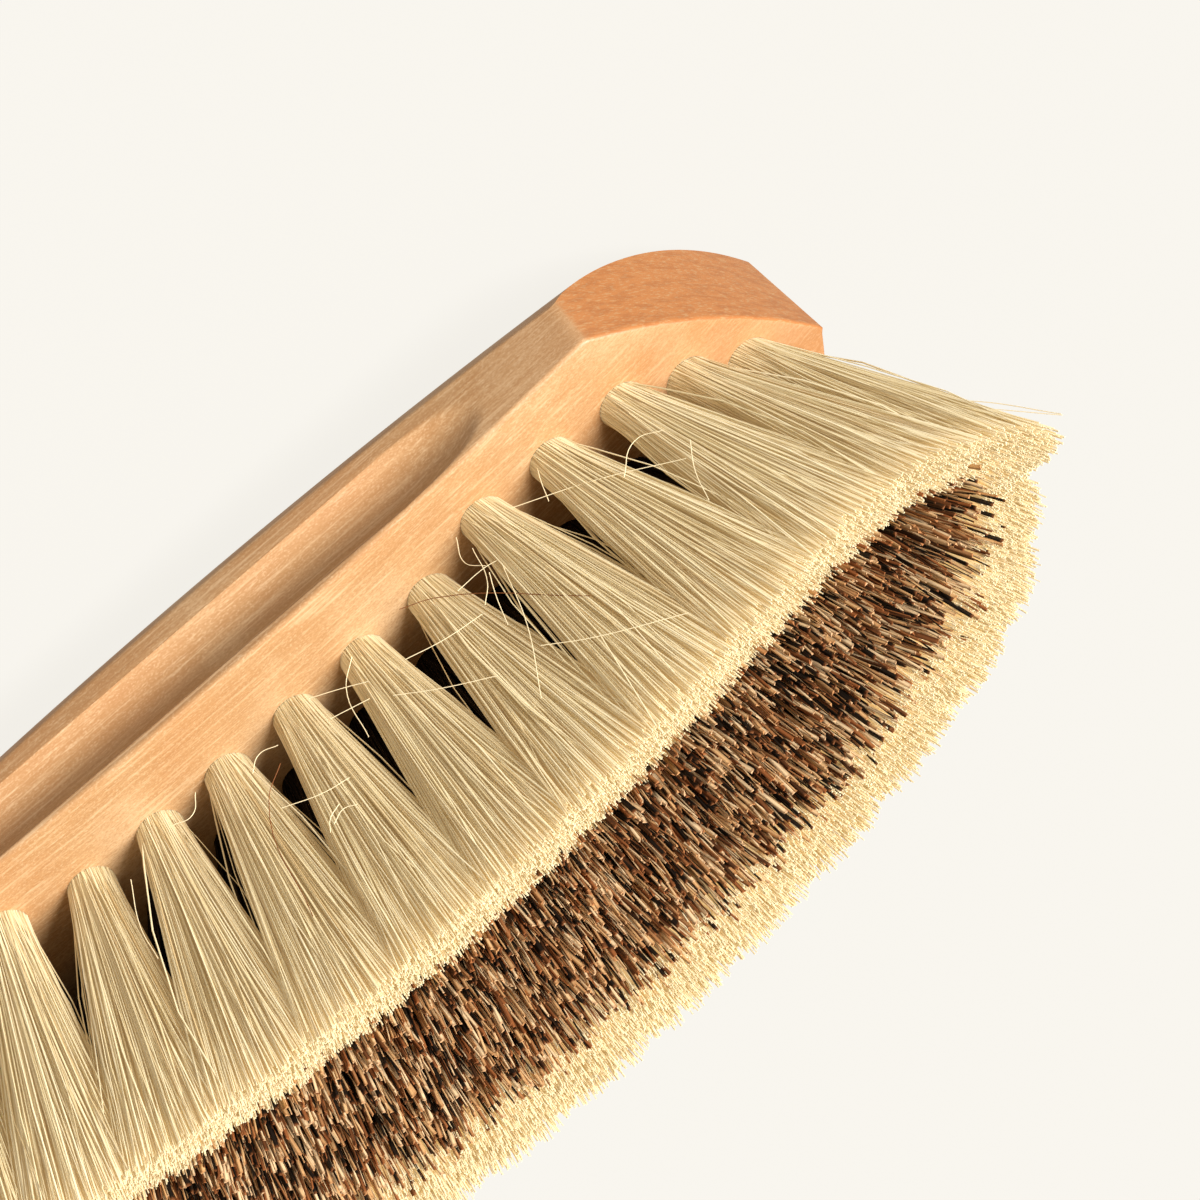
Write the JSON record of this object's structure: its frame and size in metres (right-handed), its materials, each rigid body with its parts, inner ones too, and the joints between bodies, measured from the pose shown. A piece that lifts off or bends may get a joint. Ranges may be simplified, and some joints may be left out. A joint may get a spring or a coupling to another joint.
{
  "type": "dandy brush",
  "caption": "Grooming brush: a wooden stock with a domed back, pointed ends and finger grooves, filled with a cream border and a brown centre of long bristle tufts.",
  "frame": {"origin": "the middle of the brush, at the lowest point of its domed back, which it lies on", "axes": "+X runs along the stock towards one prow, +Y runs across it, +Z runs from the back towards the bristle tips"},
  "size_m": [0.212, 0.064, 0.0816],
  "materials": {
    "beech": "clear satin varnish",
    "cream_fibre": "stiff plant fibre, cut ends",
    "brown_fibre": "coarse plant fibre in mixed browns"
  },
  "bodies": {
    "root": {"stock": "beech", "white_tuft_01": "cream_fibre", "white_tuft_02": "cream_fibre", "white_tuft_03": "cream_fibre", "white_tuft_04": "cream_fibre", "white_tuft_05": "cream_fibre", "white_tuft_06": "cream_fibre", "white_tuft_07": "cream_fibre", "white_tuft_08": "cream_fibre", "white_tuft_09": "cream_fibre", "white_tuft_10": "cream_fibre", "white_tuft_11": "cream_fibre", "white_tuft_12": "cream_fibre", "white_tuft_13": "cream_fibre", "white_tuft_14": "cream_fibre", "white_tuft_15": "cream_fibre", "white_tuft_16": "cream_fibre", "white_tuft_17": "cream_fibre", "white_tuft_18": "cream_fibre", "white_tuft_19": "cream_fibre", "white_tuft_20": "cream_fibre", "white_tuft_21": "cream_fibre", "white_tuft_22": "cream_fibre", "white_tuft_23": "cream_fibre", "white_tuft_24": "cream_fibre", "white_tuft_25": "cream_fibre", "white_tuft_26": "cream_fibre", "white_tuft_27": "cream_fibre", "white_tuft_28": "cream_fibre", "white_tuft_29": "cream_fibre", "white_tuft_30": "cream_fibre", "white_tuft_31": "cream_fibre", "white_tuft_32": "cream_fibre", "brown_tuft_01": "brown_fibre", "brown_tuft_02": "brown_fibre", "brown_tuft_03": "brown_fibre", "brown_tuft_04": "brown_fibre", "brown_tuft_05": "brown_fibre", "brown_tuft_06": "brown_fibre", "brown_tuft_07": "brown_fibre", "brown_tuft_08": "brown_fibre", "brown_tuft_09": "brown_fibre", "brown_tuft_10": "brown_fibre", "brown_tuft_11": "brown_fibre", "brown_tuft_12": "brown_fibre", "brown_tuft_13": "brown_fibre", "brown_tuft_14": "brown_fibre", "brown_tuft_15": "brown_fibre", "brown_tuft_16": "brown_fibre", "brown_tuft_17": "brown_fibre", "brown_tuft_18": "brown_fibre", "brown_tuft_19": "brown_fibre", "brown_tuft_20": "brown_fibre", "brown_tuft_21": "brown_fibre", "brown_tuft_22": "brown_fibre", "brown_tuft_23": "brown_fibre"}
  },
  "joints": []
}
